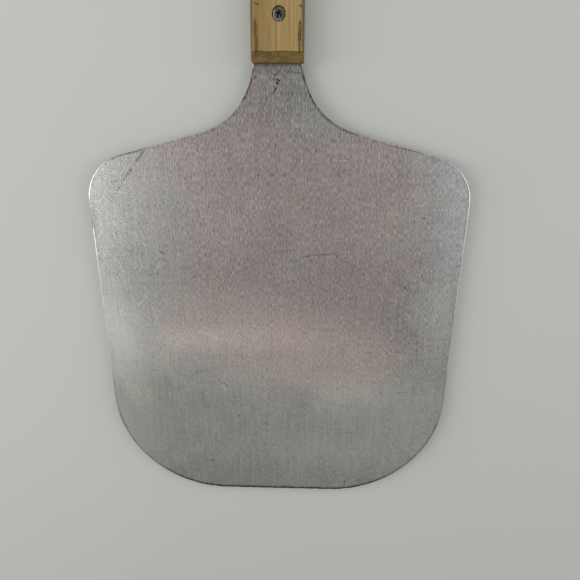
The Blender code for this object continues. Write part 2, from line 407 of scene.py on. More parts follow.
def warp(x, y):
    """Height that years of use have added to the flat sheet. y is measured from the front edge."""
    fade = min(1.0, max(0.0, (HANDLE_Y0 - FRONT_Y - y) / WARP_FADE))
    fade = fade * fade * (3 - 2 * fade)
    bow = -BOW * (x / HALF_BLADE) ** 2
    dips = DIPS * noise.noise(Vector((x * 9, y * 9, 0.7)))
    return (bow + dips) * fade


def make_blade():
    loop, shares, rows = blade_loop()
    facing = facings(loop)
    top = BLADE_HIGH.z
    bottom = BLADE_LOW.z
    ground = SHEET - FRONT_EDGE
    solid = bmesh.new()
    edge_layer = solid.verts.layers.float.new("edge")
    facing_layer = solid.verts.layers.float.new("facing")
    upper_layer = solid.verts.layers.float.new("upper")

    def ring(depths, heights, upper):
        """One ring. Each pair holds the value away from the front bevel, and the value on it."""
        widths = [depths[0] + s * (depths[1] - depths[0]) for s in shares]
        made = []
        for p, s, width, way in zip(inset(loop, widths), shares, widths, facing):
            p = nicked(p, width)
            z = heights[0] + s * (heights[1] - heights[0])
            v = solid.verts.new((p.x, p.y + FRONT_Y, z + warp(p.x, p.y)))
            v[edge_layer] = width / MM
            v[facing_layer] = way
            v[upper_layer] = upper
            made.append(v)
        return made

    breaks = [EDGE_BREAK * (1 - cos(pi / 6 * i)) for i in range(4)]
    drops = [EDGE_BREAK * (1 - sin(pi / 6 * i)) for i in range(4)]
    rings = [ring((d * MM, d * MM), (bottom, bottom), 0.0) for d in DEPTHS[::-1]]
    rings += [ring((d, d), (bottom + h, bottom + h), 0.0) for d, h in zip(breaks[::-1], drops[::-1])]
    for i, (d, h) in enumerate(zip(breaks, drops)):
        rings.append(ring((d, FRONT_BEVEL * i / 3), (top - h, top - ground * (1 - i / 3)), 1.0))
    rings += [ring((d * MM, FRONT_BEVEL + d * MM), (top, top), 1.0) for d in DEPTHS]
    join_rows(solid, rings)

    def fill(edge, z, upper):
        """Fills the inside of a ring with rows across the blade."""
        across = COLUMNS - 1
        grid = []
        for i in range(rows):
            right = edge[across + i]
            left = edge[-1 - i]
            row = [left]
            for k in range(1, COLUMNS):
                if i == 0:
                    row.append(edge[k - 1])
                elif i == rows - 1:
                    row.append(edge[across + rows + COLUMNS - 1 - k])
                else:
                    flat = left.co.lerp(right.co, k / COLUMNS)
                    v = solid.verts.new((flat.x, flat.y, z + warp(flat.x, flat.y - FRONT_Y)))
                    v[edge_layer] = DEPTHS[-1]
                    v[upper_layer] = upper
                    row.append(v)
            row.append(right)
            grid.append(row)
        for low, high in zip(grid, grid[1:]):
            for k in range(COLUMNS):
                solid.faces.new((low[k], low[k + 1], high[k + 1], high[k]))

    fill(rings[0], bottom, 0.0)
    fill(rings[-1], top, 1.0)
    blade = new_object("blade_sheet", solid)
    holes = []
    for node in SCREWS:
        radius = SCREW_SHANK + GAP
        hole = new_object("hole", turned([(radius, top + PAST), (radius, bottom - PAST)], SCREW_HOLE_SIDES))
        hole.location = (*screw_place(node), 0)
        holes.append(hole)
    cut_away(blade, holes)
    even_normals(blade)
    return blade


# Particular marks on the upper face. A line is x0, y0, x1, y1 and half its width, and a spot is x, y and its
# radius, all in mm, each with a strength.
DARK_SCRATCHES = (
    (2, -89, 14, -86.5, 0.7, 0.5), (19, -94, 27, -91.5, 0.8, 0.7), (27, -91.5, 46, -90.5, 0.8, 0.8),
    (47, -90, 50, -93, 1.2, 0.6), (50, -93, 69, -103, 0.6, 0.5), (3, -79, 12, -81, 0.6, 0.35),
    (17, -109, 32, -118, 0.6, 0.4), (32, -118, 51, -128, 0.6, 0.35), (67, -143, 78, -153, 0.6, 0.4),
    (128, -75, 133, -90, 0.6, 0.5), (148, -100, 152, -97, 0.8, 0.8), (116, -109, 131, -116, 0.6, 0.4),
    (98, -178, 115, -178, 0.7, 0.6), (100, -182, 112, -182, 0.6, 0.3), (120.5, -158, 125.5, -196, 0.7, 0.45),
    (101, -219, 125, -219, 0.6, 0.3), (53, -262.5, 78, -263, 0.7, 0.35), (-49, -73, -45, -77, 0.8, 0.6),
    (-104, -10, -114, -22, 1.4, 0.6), (-114, -22, -123, -33, 1.2, 0.6), (-123, -33, -129, -42, 0.9, 0.4),
    (-120, -31, -138, -36, 0.8, 0.3), (11, 45, 18, 45, 0.7, 0.4), (-99, -85, -94, -86, 0.6, 0.3),
    (130, -62.5, 140, -65.5, 0.6, 0.3), (94, -219, 98, -223, 0.8, 0.4),
)
DARK_SPOTS = (
    (-133.3, -74.8, 1.1, 0.9), (-133.2, -76.4, 1.0, 0.9), (-57.0, -52.6, 1.1, 0.8), (-55.4, -52.2, 1.1, 0.8),
    (-97.6, -90.8, 1.2, 0.9), (-95.6, -91.2, 1.2, 0.8), (-101.2, -109, 1.2, 0.9), (-36.6, -246.5, 1.2, 0.9),
    (-13, -277, 1.0, 0.6), (-102.5, -206.8, 1.2, 0.6), (93.6, -218.6, 1.4, 0.9), (94.6, -220, 1.3, 0.8),
    (117.2, -60, 1.4, 0.9), (120.5, -64, 1.1, 0.7), (66, -318.8, 1.2, 1.0), (66, -321, 1.2, 1.0),
    (92, -301.7, 1.4, 0.6), (-65, -297.6, 1.8, 0.5), (-63, -298.6, 1.8, 0.5), (52.5, -128.5, 1.2, 0.6),
    (-1.7, 43.6, 1.3, 0.8), (-3.2, 40.8, 1.2, 0.7), (-0.4, 40.6, 1.3, 1.0), (0.8, 39.9, 1.3, 1.0),
    (-0.6, 38.2, 1.3, 0.9), (-1.7, 34.2, 1.6, 1.0), (-2.9, 32.8, 1.2, 0.7), (9, 38.5, 1.2, 0.4),
    (-9, 30, 1.2, 0.4),
)
DARK_PATCHES = (
    (-140, -18, -128, -17, 3, 0.5), (-124, -13, -116, -11, 3, 0.6), (58, 1.5, 69, 0, 2.5, 0.6),
    (45, 8, 52, 5, 2.2, 0.4), (109, -9, 125, -15, 3, 0.4), (149, -36, 152, -58, 2.6, 0.6),
    (-149, -46, -151, -78, 1.8, 0.35), (137, -260, 139, -262, 3.2, 0.7), (127, -291, 131, -289, 3, 0.7),
    (113, -304, 117, -302, 3, 0.7), (80, -319, 86, -318, 4, 0.5), (5, -327, 12, -327, 3.5, 0.6),
    (24, -321, 30, -323, 3, 0.5), (117, -109, 122, -120, 7, 0.4), (133, -172, 150, -176, 4, 0.35),
    (-120, -90, -112, -96, 9, 0.25), (-140, -215, -146, -205, 5, 0.3), (-60, -300, -45, -310, 8, 0.25),
    (0, 46, 14, 48, 6, 0.4),
)
# Stretches of the outline that are darker, without the painted rim highlight.
DARKER_EDGES = (
    (-133, -17.5, -100, -7.5, 2.2, 0.8), (-19, 47, -22, 35, 2.5, 0.9), (-22, 35, -29, 24, 2.5, 0.9),
    (-29, 24, -48, 11, 2.5, 0.8), (19, 47, 22, 36, 2.5, 0.9), (22, 36, 28, 25, 3, 1.0),
    (28, 25, 47, 8, 3, 1.0), (47, 7, 68, 2.4, 2.5, 0.9), (76, 0, 89, -3.6, 1.6, 0.5),
    (89, -3.6, 121, -12, 2.5, 0.8), (-152, -46, -151, -80, 1.8, 0.6),
)
# Broad parts of the face painted lighter, as highlights where it catches the light.
HIGHLIGHT_PATCHES = (
    (45, -222, 105, -236, 34, 0.5), (139, -176, 139, -186, 11, 0.5), (131, -112, 137, -178, 20, 0.7),
    (-137, -200, -124, -235, 18, 0.65), (-138, -165, -132, -182, 16, 0.6),
)
# bright scratches, whose brightness is partly a painted glint
LIGHT_SCRATCHES = (
    (-121.5, -138, -108, -124, 0.9, 1.0), (106, -138, 121, -153, 0.9, 1.2), (114, -132, 128, -147, 0.9, 1.2),
    (-74, -63, -71, -56, 0.6, 0.5), (75, -1.5, 89, -4, 0.8, 0.8), (-68, -162, -58, -165.5, 1.4, 0.8),
    (-56, -166.5, -53, -169, 1.3, 1.4), (-86, -177, -84, -177, 0.8, 0.7), (110, -146, 120, -156, 0.8, 0.9),
)
# Fine random scratches: the angle of each layer in degrees, its scale, how rare they are, and how light.
SCRATCH_LAYERS = (
    (8, 900, 0.69, 0.20), (-34, 1000, 0.70, 0.20), (52, 950, 0.70, -0.22), (-68, 1050, 0.71, -0.22),
    (86, 900, 0.71, 0.2),
)

FRONT_METAL = (0.594, 0.581, 0.545)
BACK_METAL = (0.520, 0.515, 0.492)
BLUISH_METAL = (0.512, 0.512, 0.520)
# the rosy, warm and peach colours paint a pink reflection on the face
ROSY_METAL = (0.545, 0.470, 0.458)
WARM_METAL = (0.570, 0.480, 0.450)
PEACH_METAL = (0.66, 0.515, 0.46)
PEACH_SPOT = (0.012, -0.158, 0)     # middle of the warmest patch
DARKEST = 0.06                      # least share of the metal's colour that any mark leaves


def blade_places(g):
    """Where a point of the blade lies, and the slow noises that its looks share."""
    x, y, _ = g.split()
    upper = g.attribute("upper")                        # 1 on the face that carries the food
    flat = g.join(x, y, g.mul(upper, 0.4))
    drift = g.noise(flat, 26, 4, 0.6)
    blotch = g.noise(flat, 75, 4, 0.6)
    return SimpleNamespace(
        x=x, y=y, upper=upper, flat=flat, drift=drift, blotch=blotch,
        edge=g.attribute("edge"),                       # mm in from the outline
        facing=g.attribute("facing"),                   # 1 where the outline faces the handle, -1 in front
        broad=g.on_plan(g.wobbled(flat, 110, 2.2 * MM, 4)),
        wavy_x=g.total(x, g.swing(drift, 0.10), g.swing(blotch, 0.04)),
        wavy_y=g.total(y, g.swing(drift, 0.045), g.swing(blotch, 0.015)),
    )


def metal_grain(g, at):
    """Brushing along the length, cross-hatched by use towards the left."""
    left = g.band(g.math("MULTIPLY_ADD", at.drift, 0.08, at.x), -0.02, -0.09)
    streaks = g.noise(g.stretched(at.flat, (1, 0.19, 1)), 1450, 3, 0.6)
    fine = g.noise(g.stretched(at.flat, (1, 0.05, 1)), 3400, 2, 0.5)
    speckle = g.noise(g.stretched(at.flat, (1, 0.85, 1), radians(-30)), 1400, 3, 0.65)
    hatch = g.noise(g.stretched(at.flat, (1, 0.12, 1), radians(38)), 1200, 2, 0.6)
    brushing = g.mul(g.swing(streaks, 2.1), g.math("MULTIPLY_ADD", left, -0.5, 1.0))
    rubbing = g.total(g.swing(speckle, 2.2), g.swing(hatch, 0.35))
    rubbing = g.mul(rubbing, g.math("MULTIPLY_ADD", left, 1.35, 0.35))
    return g.total(brushing, rubbing, g.swing(fine, 0.5))


def metal_scratches(g, at):
    """Fine random scratches, each layer in one direction and bent a little."""
    bent = g.wobbled(at.flat, 30, 2 * MM, 1)
    scratches = 0.0
    for turn, scale, cut, gain in SCRATCH_LAYERS:
        layer = g.noise(g.stretched(bent, (1, 0.03, 1), radians(turn)), scale, 1, 0.5)
        scratches = g.math("MULTIPLY_ADD", g.band(layer, cut - 0.03, cut + 0.04), gain, scratches)
    return scratches


def metal_marks(g, at):
    """The dark marks, patches of grime and bright scratches that this blade has; the scratches' brightness is
    partly a painted glint.
    """
    thin = g.on_plan(g.wobbled(at.flat, 140, 0.35 * MM))
    broken = g.band(g.noise(at.flat, 700, 2), 0.36, 0.52)
    dark = g.mul(g.strokes(thin, DARK_SCRATCHES), broken)
    dark = g.mul(g.math("MAXIMUM", dark, g.spots(thin, DARK_SPOTS)), at.upper)
    patches = g.band(g.strokes(at.broad, DARK_PATCHES), 0.0, 0.6)
    patches = g.mul(patches, g.band(g.noise(at.flat, 420, 3, 0.7), 0.35, 0.6), at.upper)
    bright = g.mul(g.strokes(thin, LIGHT_SCRATCHES), broken, at.upper)
    return dark, patches, bright


def metal_edges(g, at):
    """What the edges add to the tone: painted highlights and painted shade on the rims, sooty streaks with
    painted shade along the front, and darker stretches.

    The cut edge is painted bright along the sides and where it faces the handle, and painted dark along the
    front, where it faces away from the light.
    """
    # rubbed marks the rims that face the handle or the sides; they get the painted highlight, and the others
    # painted shade
    rubbed = g.math("MAXIMUM", g.band(at.facing, 0.05, 0.35), g.band(at.y, -0.205, -0.190))
    rubbed = g.mul(rubbed, g.band(at.facing, -0.3, -0.05))
    rim = g.band(at.edge, 0.95, 0.4)
    darker_edge = g.strokes(at.broad, DARKER_EDGES)
    bright = g.mul(rim, rubbed, g.band(at.blotch, 0.24, 0.36), g.band(darker_edge, 0.4, 0.0))
    # painted shade on the rims that face away from the light
    dark = g.mul(rim, g.math("SUBTRACT", 1.0, rubbed))
    inner_line = g.mul(g.band(at.edge, 0.8, 1.2), g.band(at.edge, 2.4, 1.4), g.band(at.blotch, 0.45, 0.6))
    # darker along the front edge and its corners: sooty streaks, and painted shade where the edge faces away
    # from the light
    sooty = g.noise(g.stretched(at.flat, (1, 0.35, 1)), 420, 4, 0.7)
    reach = g.math("MULTIPLY_ADD", sooty, 7.0, 0.2)
    soot_and_shade = g.mul(g.band(at.facing, -0.72, -0.97), g.band(g.math("SUBTRACT", reach, at.edge), -0.6, 2.2))
    corner_reach = g.math("SUBTRACT", reach, g.mul(at.edge, 2.2))
    corner_soot_and_shade = g.mul(g.band(at.facing, -0.1, -0.3), g.band(corner_reach, 0.0, 1.8))
    tone = g.total(
        g.mul(bright, g.band(at.facing, 0.45, 0.15, 0.25, 0.85)),
        g.mul(inner_line, -0.28),
        g.mul(dark, -0.42),
        g.mul(darker_edge, g.band(at.edge, 1.9, 0.4), -0.68),
        g.mul(soot_and_shade, -0.6),
        g.mul(corner_soot_and_shade, -0.4),
    )
    return tone, bright, soot_and_shade


def metal_zones(g, at):
    """Zones of the face, each from 0 to 1: in some, old heat and handling changed the metal, and others paint
    a pink reflection and highlights.
    """
    tongue = g.mul(g.band(at.x, -0.090, 0.030), g.band(at.x, 0.140, 0.070), 0.030)
    tongue_y = g.math("ADD", at.wavy_y, tongue)
    neck_right = g.mul(g.band(at.y, -0.01, 0.02), g.band(at.x, -0.002, 0.012))
    slant = g.math("MULTIPLY_ADD", g.math("ADD", at.wavy_y, 0.16), 1.2, at.wavy_x)
    return SimpleNamespace(
        behind=g.band(tongue_y, -0.222, -0.172),        # all but the dull, greenish front
        # painted pink reflection
        rosy=g.mul(
            g.band(tongue_y, -0.222, -0.160), g.band(at.wavy_x, -0.125, -0.060),
            g.band(at.wavy_x, 0.145, 0.090), g.band(at.y, 0.055, 0.0, 0.7, 1.0),
            g.math("MULTIPLY_ADD", neck_right, -0.8, 1.0),
        ),
        bluish=g.mul(g.band(at.wavy_y, -0.170, -0.095), g.band(at.wavy_x, 0.085, 0.125)),
        # painted highlight: a lighter, bluish strip along the left front corner
        strip=g.mul(                                    # along the left front corner
            g.band(at.edge, 12.5, 8.5), g.band(at.edge, 0.8, 3.0), g.band(at.x, -0.095, -0.120),
            g.band(at.y, -0.300, -0.260), g.band(at.y, -0.175, -0.205), g.band(at.blotch, 0.3, 0.5, 0.6, 1.0),
        ),
        # painted highlight: a lighter belt where the face reflects the light
        highlight_belt=g.mul(                                 # a lighter belt behind the dull front
            g.band(at.wavy_y, -0.105, -0.172), g.band(tongue_y, -0.224, -0.176), g.band(slant, 0.12, 0.02),
        ),
    )


def metal_colour(g, at, zones):
    from_peach = g.vector("LENGTH", g.vector("SUBTRACT", g.join(at.x, at.y, 0.0), PEACH_SPOT))
    colour = g.mix(zones.behind, FRONT_METAL, BACK_METAL)
    colour = g.mix(g.math("MAXIMUM", zones.bluish, g.mul(zones.strip, 0.8)), colour, BLUISH_METAL)
    # painted pink reflection: the rosy, warm and peach mixes
    colour = g.mix(zones.rosy, colour, ROSY_METAL)
    colour = g.mix(g.mul(zones.rosy, zones.highlight_belt, 0.7), colour, WARM_METAL)
    colour = g.mix(g.mul(g.band(from_peach, 0.032, 0.0), 0.45), colour, PEACH_METAL)
    stain = g.noise(at.flat, 85, 2, output=1)
    stain = g.vector("MULTIPLY_ADD", stain, (0.15, 0.08, 0.14), (0.925, 0.96, 0.93))
    return g.vector("MULTIPLY", colour, stain)


def metal_tone(g, at, zones):
    """How much lighter or darker than its colour each part of the face is."""
    x, y, wavy_x = at.x, at.y, at.wavy_x
    # painted highlights from the broad lighter patches
    sheen = g.mul(g.band(g.strokes(at.broad, HIGHLIGHT_PATCHES), 0.0, 1.0), at.upper)
    # painted highlight: a narrow light band across the face
    gleam_y = g.math("ADD", y, g.swing(at.drift, 0.012))
    gleam = g.mul(
        g.band(gleam_y, -0.150, -0.166), g.band(gleam_y, -0.187, -0.171),
        g.band(wavy_x, -0.115, -0.075), g.band(wavy_x, 0.035, -0.045),
    )
    # painted contact shadow on the blade just in front of the handle's end
    joint_shadow = g.mul(g.band(y, 0.0425, 0.0500), g.band(at.blotch, 0.3, 0.6, 0.4, 1.0))
    long = g.noise(g.stretched(at.flat, (1, 0.04, 1)), 620, 2, 0.6)
    return g.total(
        g.mul(zones.highlight_belt, 0.38),
        g.mul(zones.behind, 0.015),
        g.mul(zones.strip, 0.16),
        g.mul(gleam, 0.19),
        g.mul(sheen, 0.22),
        # painted highlight along the left side of the face
        g.mul(g.band(wavy_x, -0.100, -0.150), g.band(y, -0.08, -0.16), 0.16),
        g.mul(g.band(y, -0.283, -0.317), -0.15),
        g.mul(g.band(y, -0.195, -0.230), g.band(wavy_x, -0.07, 0.10), 0.085),
        g.mul(g.band(x, 0.0, 0.04), g.band(y, -0.13, -0.06), 0.045),
        # painted highlights along the left and right sides of the face
        g.mul(g.band(x, -0.116, -0.150), g.band(y, -0.215, -0.165), g.band(y, -0.08, -0.13, 0.12, 0.24)),
        g.mul(g.band(x, 0.120, 0.148), g.band(y, -0.205, -0.155), g.band(y, -0.08, -0.12, 0.09, 0.18)),
        g.mul(g.band(y, -0.09, 0.03), -0.11),
        g.mul(g.band(y, -0.01, 0.045), g.band(x, 0.0, 0.012, -0.165, -0.18)),
        g.mul(joint_shadow, g.band(x, -0.006, 0.003, -0.15, -0.03)),
        g.swing(long, 0.48),
        g.swing(at.drift, 0.28),
        g.swing(at.blotch, 0.14),
    )


def aluminium():
    g = Graph("worn_aluminium")
    at = blade_places(g)
    zones = metal_zones(g, at)
    grain = metal_grain(g, at)
    dark, patches, bright = metal_marks(g, at)
    edge_tone, rim_highlight, soot_and_shade = metal_edges(g, at)
    tone = g.total(
        metal_tone(g, at, zones),
        edge_tone,
        metal_scratches(g, at),
        g.mul(grain, g.math("MULTIPLY_ADD", zones.behind, 0.43, 0.46)),
        g.mul(bright, 0.4),
        g.mul(dark, -0.85),
        g.mul(patches, -0.28),
    )
    gain = g.math("MAXIMUM", g.math("ADD", tone, 1.0), DARKEST)
    dirt_and_shade = g.math("MAXIMUM", dark, g.math("MAXIMUM", soot_and_shade, patches))
    g.set(
        Base_Color=g.vector("SCALE", metal_colour(g, at, zones), scale=gain),
        Metallic=1.0,
        Roughness=g.total(g.swing(grain, 0.10, 0.0), g.mul(dirt_and_shade, 0.2), g.mul(rim_highlight, -0.1), 0.44),
        Normal=g.bump(grain, 0.35, 0.05 * MM),
    )
    return g.material


# ---------------------------------------------------------------- handle

ACROSS = 46                         # columns over the flat part of a face
AROUND = 8                          # steps round each long edge
CREASE = 0.25 * MM                  # softness of the worn corner between the bevel and the faces
BEVEL_ROWS = (0, 0.2, 0.4, 0.6, 0.75, 0.86, 0.93, 1, 1.07, 1.15, 1.3, 1.6, 2)
MIDDLE_ROWS = 54
FAR_ROWS = 20
SIDE_SHARES = (0.6, 0.3, 0.0)       # heights on a side, as shares of its upper end's
BEVEL_CORNER = 0.8 * MM             # rounding of the bevel's two side edges
HOLE_CHAMFER = 0.8 * MM
HOLE_SIDES = 64


def bevel_reach(x):
    """How far back the end bevel reaches: its upper edge is wavy, as it was cut by hand."""
    slow = noise.noise(Vector((x * 110, 2.7, 0)))
    quick = noise.noise(Vector((x * 420, 8.1, 0)))
    return END_BEVEL + (0.9 * slow + 0.3 * quick) * MM


def far_distance(x, y):
    """Distance from a place in plan to the handle's outline, away from its front end."""
    across = abs(x) - (HALF_HANDLE - FAR_CORNER)
    along = y - (HANDLE_Y1 - FAR_CORNER)
    if across > 0 and along > 0:
        return FAR_CORNER - sqrt(across ** 2 + along ** 2)
    return FAR_CORNER - max(across, along)


def face_height(x, y):
    """Height of the upper face above the handle's middle."""
    radius = HANDLE_ROUNDING * (1 + 0.12 * noise.noise(Vector((y * 30, x * 20, 5))))
    inside = max(0.0, far_distance(x, y))
    rounded = HALF_THICK
    if inside < radius:
        rounded -= radius - sqrt(radius ** 2 - (radius - inside) ** 2)
    bevel = HALF_THICK - END_BEVEL + END_BEVEL * (y - HANDLE_Y0) / bevel_reach(x)
    corner = min(inside, BEVEL_CORNER)
    bevel -= BEVEL_CORNER - sqrt(BEVEL_CORNER ** 2 - (BEVEL_CORNER - corner) ** 2)
    blend = exp((HALF_THICK - rounded) / CREASE) + exp((HALF_THICK - bevel) / CREASE)
    return HALF_THICK - CREASE * log(blend)


def half_width(y):
    """Half the handle's width, which its rounded corners narrow at both ends."""
    from_front = y - HANDLE_Y0
    from_far = HANDLE_Y1 - y
    if from_front < FRONT_CORNER:
        return HALF_HANDLE - FRONT_CORNER + sqrt(FRONT_CORNER ** 2 - (FRONT_CORNER - from_front) ** 2)
    if from_far < FAR_CORNER:
        return HALF_HANDLE - FAR_CORNER + sqrt(max(0.0, FAR_CORNER ** 2 - (FAR_CORNER - from_far) ** 2))
    return HALF_HANDLE


def handle_columns():
    """Places across the width, from 1 at the right side to -1 at the left, close together round the edges."""
    rounding = HANDLE_ROUNDING / HALF_HANDLE
    edge = [1 - rounding * (1 - cos(pi / 2 * i / AROUND)) for i in range(AROUND)]
    flat = [(1 - rounding) * (1 - 2 * i / ACROSS) for i in range(ACROSS + 1)]
    return edge + flat + [-c for c in edge[::-1]]


def handle_rows():
    """Each row's place along the handle: a share of the bevel's reach and 0, or further on 0 and its Y."""
    rows = [(share, 0.0) for share in BEVEL_ROWS]
    start = HANDLE_Y0 + BEVEL_ROWS[-1] * END_BEVEL
    far_start = HANDLE_Y1 - FAR_CORNER
    rows += [(0.0, start + (far_start - start) * i / MIDDLE_ROWS) for i in range(1, MIDDLE_ROWS + 1)]
    rows += [(0.0, far_start + FAR_CORNER * sin(pi / 2 * i / FAR_ROWS)) for i in range(1, FAR_ROWS + 1)]
    return rows


def handle_section(share, far):
    """One row's points round the handle, from mid height on the right over the top and back underneath."""
    points = []
    for column in handle_columns():
        if far:
            y = far
            x = column * half_width(y)
        else:
            x = column * half_width(HANDLE_Y0 + share * END_BEVEL)
            fade = max(0.0, min(1.0, 2 - share))
            y = HANDLE_Y0 + share * (END_BEVEL + (bevel_reach(x) - END_BEVEL) * fade)
        points.append((x, y, face_height(x, y)))
    right, left = points[0], points[-1]
    upper = [(right[0], right[1], right[2] * s) for s in SIDE_SHARES[::-1]] + points
    upper += [(left[0], left[1], left[2] * s) for s in SIDE_SHARES]
    lower = [(x, y, -z) for x, y, z in upper[::-1]][1:-1]
    return upper + lower


def close_end(solid, ring):
    """Closes an end of the handle with strips between its upper and lower faces."""
    half = len(ring) // 2
    side = len(SIDE_SHARES) + 1                         # from mid height to the first point further in
    solid.faces.new(ring[side::-1] + ring[:-side - 1:-1])
    for i in range(side, half - side):
        solid.faces.new((ring[i], ring[i + 1], ring[-1 - i], ring[-i]))
    solid.faces.new(ring[half - side:half + side + 1])


def handle_cutters():
    """Shapes of the saw slot, the screws' holes and the hanging hole."""
    slot = bmesh.new()
    bmesh.ops.create_cube(slot, size=1)
    slot_end = TANG_Y1 + 2 * GAP
    length = slot_end - HANDLE_Y0 + PAST
    bmesh.ops.scale(slot, vec=(4 * HALF_HANDLE, length, SHEET + 2 * GAP), verts=slot.verts)
    bmesh.ops.translate(slot, vec=(0, slot_end - length / 2, MID_Z), verts=slot.verts)
    cutters = [new_object("slot", slot)]
    for node in SCREWS:
        bore = new_object("bore", turned(bore_profile(*SCREWS[node]), HOLE_SIDES))
        bore.location = (*screw_place(node), 0)
        cutters.append(bore)
    mouth = HANG_HOLE_RADIUS + HOLE_CHAMFER + PAST
    profile = [
        (mouth, HANDLE_HIGH.z + PAST), (HANG_HOLE_RADIUS, HANDLE_HIGH.z - HOLE_CHAMFER),
        (HANG_HOLE_RADIUS, HANDLE_LOW.z + HOLE_CHAMFER), (mouth, HANDLE_LOW.z - PAST),
    ]
    hole = new_object("hole", turned(profile, HOLE_SIDES))
    hole.location = (0, HANDLE_Y1 - HANG_HOLE_INSET, 0)
    return cutters + [hole]


def make_handle():
    solid = bmesh.new()
    bevel_layer = solid.verts.layers.float.new("bevel")
    inside_layer = solid.verts.layers.float.new("inside")
    rings = []
    for row in handle_rows():
        ring = []
        for x, y, z in handle_section(*row):
            v = solid.verts.new((x, y, MID_Z + z))
            v[bevel_layer] = (y - HANDLE_Y0 - bevel_reach(x)) / MM
            v[inside_layer] = max(0.0, far_distance(x, y)) / MM
            ring.append(v)
        rings.append(ring)
    join_rows(solid, rings)
    close_end(solid, rings[0])
    close_end(solid, rings[-1])
    handle = new_object("handle_bar", solid)
    cut_away(handle, handle_cutters())
    handle.data.set_sharp_from_angle(angle=radians(38))
    even_normals(handle)
    return handle


def bore_profile(low, high):
    """The hole round a screw, from the crushed wall above its head down to the end of its shank."""
    head = (high.x - low.x) / 2
    shank = SCREW_SHANK + GAP
    slope = tan(HEAD_HALF_ANGLE)
    rim = high.z - HEAD_LIP
    cone = head + GAP / cos(HEAD_HALF_ANGLE)
    return [
        (cone + 0.5 * MM, HANDLE_HIGH.z + PAST),
        (cone + 0.15 * MM, HANDLE_HIGH.z - 0.15 * MM),
        (cone, rim),
        (shank, rim - (cone - shank) / slope),
        (shank, low.z + 1.4 * MM),
        (shank / 3, low.z - GAP),
    ]


# Burnt and worn marks on the handle's upper face: x0, y0, x1, y1 and half the width in mm, and a strength.
BURNS = (
    (-14.9, 56, -14.9, 68, 1.9, 0.9), (-15.3, 66, -15.5, 77, 1.9, 1.0), (15.6, 57.5, 15.8, 76, 1.3, 2.2),
    (-15.4, 86.5, -12.5, 86.2, 1.1, 0.7), (16.3, 84.9, 16.0, 85.3, 1.2, 1.0),
    (16.6, 88.5, 16.6, 90, 1.0, 0.7), (-16, 118, -16, 133, 0.8, 0.7), (15.8, 205, 16.2, 228, 0.8, 0.6),
    (-15.5, 262, -15.8, 280, 0.9, 0.6), (-5.6, 58, -5.4, 79, 0.45, 0.45), (3.9, 56, 4.0, 88, 0.4, 0.35),
)

PITH_X = -105 * MM                  # middle of the growth rings
PITH_Z = -35 * MM

PALE_WOOD = (0.400, 0.262, 0.106)
PALE_LATE_WOOD = (0.275, 0.166, 0.062)
BROAD_WOOD = (0.325, 0.222, 0.092)
CLOUDY_WOOD = (0.335, 0.240, 0.096)
ORANGE_WOOD = (0.33, 0.19, 0.052)
BROWN_WOOD = (0.225, 0.148, 0.062)
BROWN_LATE_WOOD = (0.170, 0.108, 0.042)
BROWN_CLOUDY_WOOD = (0.18, 0.130, 0.063)
SAWN_WOOD = (0.205, 0.128, 0.043)
SAWN_LIGHT_WOOD = (0.32, 0.198, 0.066)
CHAR_AND_SHADE = (0.042, 0.025, 0.008)


